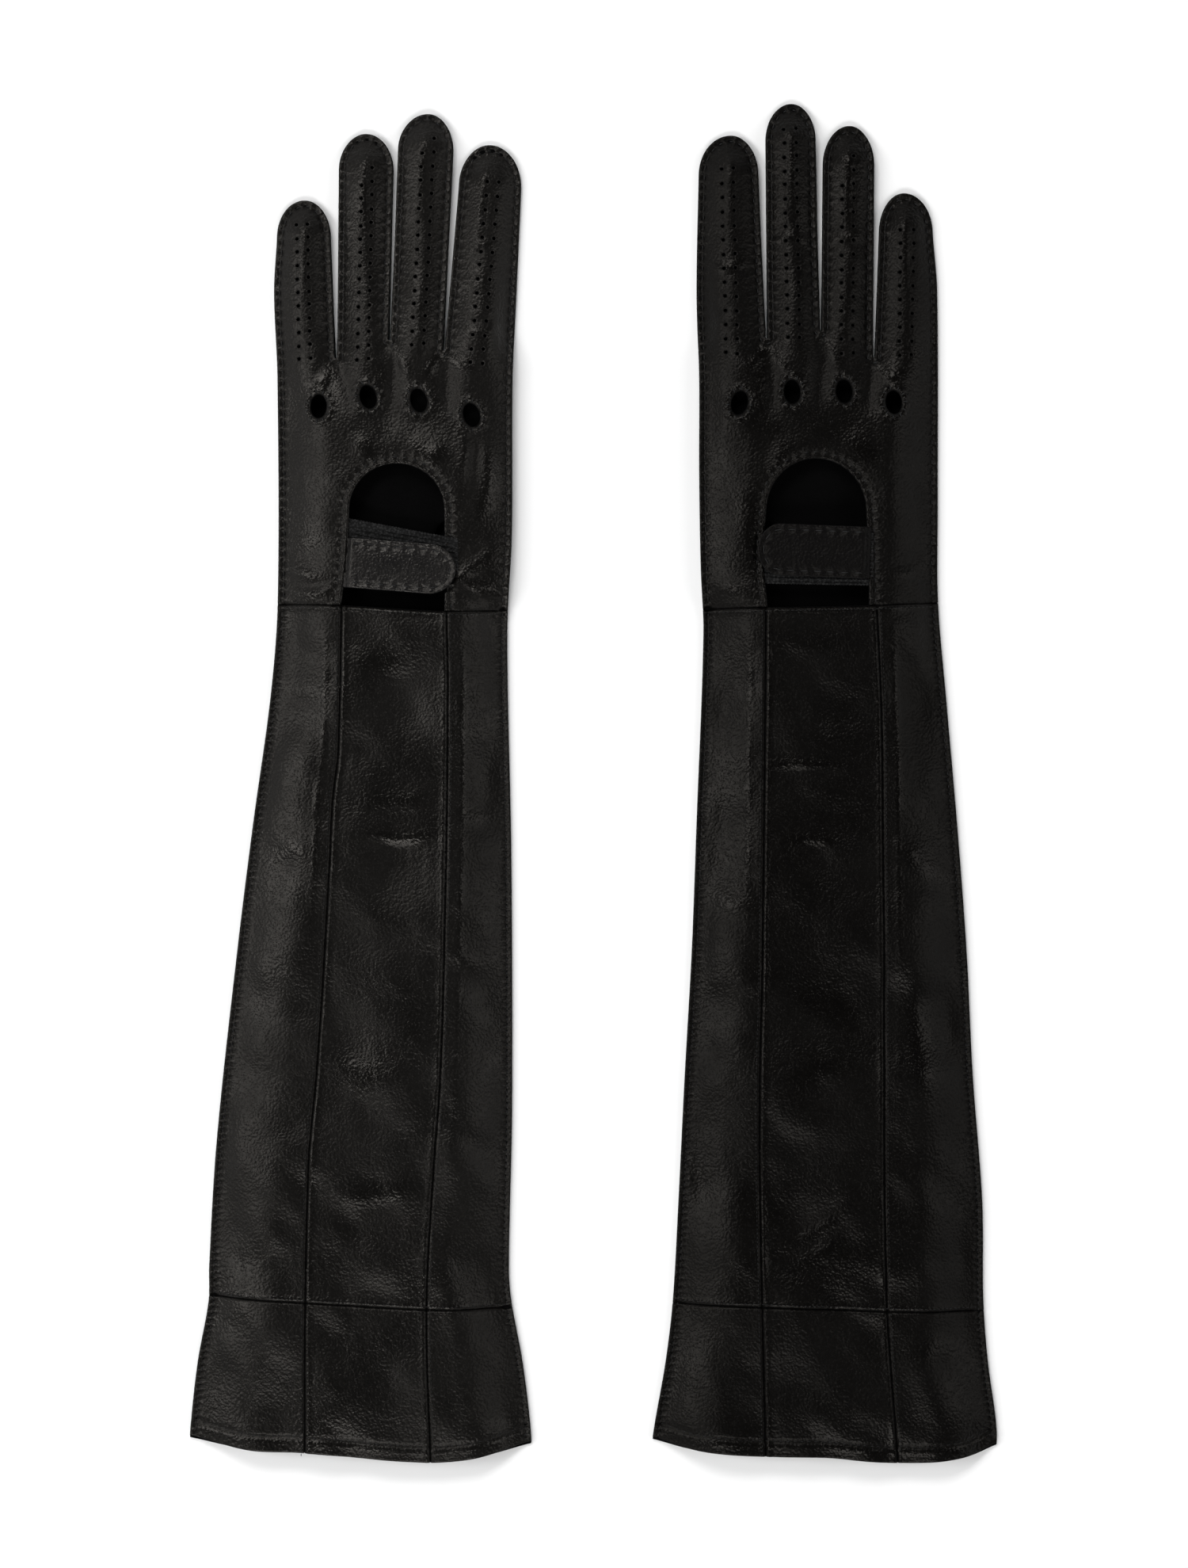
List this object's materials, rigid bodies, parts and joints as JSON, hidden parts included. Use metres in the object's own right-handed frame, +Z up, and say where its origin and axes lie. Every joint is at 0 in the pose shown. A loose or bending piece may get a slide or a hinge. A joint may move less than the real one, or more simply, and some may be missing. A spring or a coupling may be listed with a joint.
{
  "type": "pair of leather driving gloves",
  "caption": "Pair of opera-length leather driving gloves lying flat, with perforated fingers, knuckle holes, a keyhole opening and a wrist strap that lifts.",
  "frame": {"origin": "centre of the overall box of the pair, on the table under it", "axes": "+Y towards the fingertips, +X from the left-hand glove to the right-hand one, +Z up from the table, backs of the hands up"},
  "size_m": [0.3057, 0.5147, 0.0134],
  "materials": {
    "back_leather": "fine-grained black nappa, soft satin sheen",
    "palm_leather": "fine-grained black nappa, soft satin sheen",
    "gusset_leather": "black nappa, duller",
    "strap_leather": "black nappa, soft satin sheen",
    "lining_leather": "black suede side",
    "binding_leather": "black nappa, rolled",
    "thread": "black waxed thread",
    "elastic": "ribbed black elastic",
    "snap_metal": "black enamelled"
  },
  "bodies": {
    "left_glove": {"left_hand_back": "back_leather", "left_hand_palm": "palm_leather", "left_knuckle_stitching": "thread", "left_keyhole_binding": "binding_leather", "left_keyhole_stitching": "thread", "left_wrist_elastic": "elastic", "left_snap_stud": "snap_metal", "left_sleeve_back_pinky": "back_leather", "left_sleeve_back_centre": "back_leather", "left_sleeve_back_thumb": "back_leather", "left_sleeve_palm": "palm_leather", "left_cuff_back_pinky": "back_leather", "left_cuff_back_centre": "back_leather", "left_cuff_back_thumb": "back_leather", "left_cuff_palm": "palm_leather", "left_outseam_stitching": "thread", "left_sleeve_stitching": "thread", "left_fourchette_pinky_ring": "gusset_leather", "left_fourchette_ring_middle": "gusset_leather", "left_fourchette_middle_index": "gusset_leather"},
    "left_strap": {"left_strap_outer": "strap_leather", "left_strap_lining": "lining_leather", "left_strap_stitching": "thread", "left_snap_socket": "snap_metal"},
    "left_thumb": {"left_thumb_upper": "palm_leather", "left_thumb_lower": "palm_leather"},
    "right_glove": {"right_hand_back": "back_leather", "right_hand_palm": "palm_leather", "right_knuckle_stitching": "thread", "right_keyhole_binding": "binding_leather", "right_keyhole_stitching": "thread", "right_wrist_elastic": "elastic", "right_snap_stud": "snap_metal", "right_sleeve_back_pinky": "back_leather", "right_sleeve_back_centre": "back_leather", "right_sleeve_back_thumb": "back_leather", "right_sleeve_palm": "palm_leather", "right_cuff_back_pinky": "back_leather", "right_cuff_back_centre": "back_leather", "right_cuff_back_thumb": "back_leather", "right_cuff_palm": "palm_leather", "right_outseam_stitching": "thread", "right_sleeve_stitching": "thread", "right_fourchette_index_middle": "gusset_leather", "right_fourchette_middle_ring": "gusset_leather", "right_fourchette_ring_pinky": "gusset_leather"},
    "right_strap": {"right_strap_outer": "strap_leather", "right_strap_lining": "lining_leather", "right_strap_stitching": "thread", "right_snap_socket": "snap_metal"},
    "right_thumb": {"right_thumb_upper": "palm_leather", "right_thumb_lower": "palm_leather"}
  },
  "joints": [
    {"name": "right_glove_lift", "type": "slide", "parent": "left_glove", "child": "right_glove", "axis": [0, 0, 1], "range_m": [0, 0.1]},
    {"name": "left_strap_fold", "type": "hinge", "parent": "left_glove", "child": "left_strap", "pos_m": [-0.0924, 0.0831, 0.01243], "axis": [-0.0785, -0.9969, 0], "range_deg": [0, 150]},
    {"name": "right_strap_fold", "type": "hinge", "parent": "right_glove", "child": "right_strap", "pos_m": [0.1029, 0.0867, 0.01243], "axis": [0.0384, 0.9993, 0], "range_deg": [0, 150]},
    {"name": "left_thumb_swing", "type": "hinge", "parent": "left_glove", "child": "left_thumb", "pos_m": [-0.0515, 0.092, 0], "axis": [0, 0, -1], "range_deg": [0, 45]},
    {"name": "right_thumb_swing", "type": "hinge", "parent": "right_glove", "child": "right_thumb", "pos_m": [0.0608, 0.092, 0], "axis": [0, 0, 1], "range_deg": [0, 45]}
  ]
}
